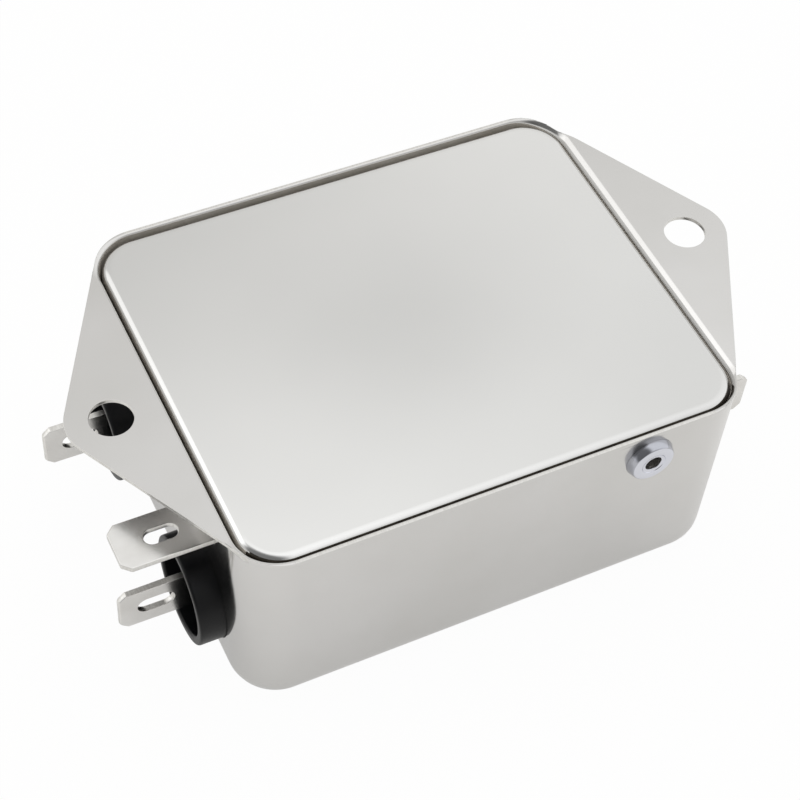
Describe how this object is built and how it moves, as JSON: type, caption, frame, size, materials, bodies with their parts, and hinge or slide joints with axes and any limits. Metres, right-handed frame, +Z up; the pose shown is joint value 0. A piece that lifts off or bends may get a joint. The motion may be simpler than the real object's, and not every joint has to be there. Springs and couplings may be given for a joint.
{
  "type": "emi line filter",
  "caption": "Chassis-mount EMI line filter: drawn metal case with two mounting ears, riveted cover, push-on tabs in insulating cups, and a choke and capacitor circuit inside.",
  "frame": {"origin": "middle of the case's flat bottom", "axes": "+X from the line end with the earth tab to the load end, along the line of the ear holes; +Z up to the cover; -Y is the front with the near rivet"},
  "size_m": [0.0856, 0.0542, 0.0293],
  "materials": {
    "nickel_case": "bright nickel plate, satin",
    "nickel_cover": "satin nickel plate",
    "rivet_metal": "polished",
    "mandrel_steel": "plain steel",
    "bushing_plastic": "moulded, black, glossy",
    "tab_metal": "nickel plate over brass",
    "board_laminate": "glass-epoxy laminate",
    "insulating_film": "fibre-filled film",
    "choke_moulding": "moulded nylon",
    "ferrite": "sintered ferrite, matte",
    "copper_wire": "enamelled copper",
    "capacitor_box": "moulded box, resin filled",
    "disc_resin": "dipped resin",
    "resistor_paint": "lacquer"
  },
  "bodies": {
    "root": {"case": "nickel_case", "cover": "nickel_cover", "rivet_body_front": "rivet_metal", "rivet_body_back": "rivet_metal", "rivet_mandrel_front": "mandrel_steel", "rivet_mandrel_back": "mandrel_steel", "earth_tab": "tab_metal", "circuit_board": "board_laminate", "base_insulator": "insulating_film", "cover_insulator": "insulating_film", "choke_base": "choke_moulding", "choke_cup": "choke_moulding", "choke_cap": "choke_moulding", "choke_divider": "choke_moulding", "choke_core": "ferrite", "choke_winding_line": "copper_wire", "choke_winding_neutral": "copper_wire", "line_x_capacitor": "capacitor_box", "load_x_capacitor": "capacitor_box", "y_capacitor_front": "disc_resin", "y_capacitor_back": "disc_resin", "bleed_resistor": "resistor_paint", "line_bushing_front": "bushing_plastic", "line_tab_front": "tab_metal", "line_bushing_back": "bushing_plastic", "line_tab_back": "tab_metal", "load_bushing_front": "bushing_plastic", "load_tab_front": "tab_metal", "load_bushing_back": "bushing_plastic", "load_tab_back": "tab_metal"}
  },
  "joints": []
}
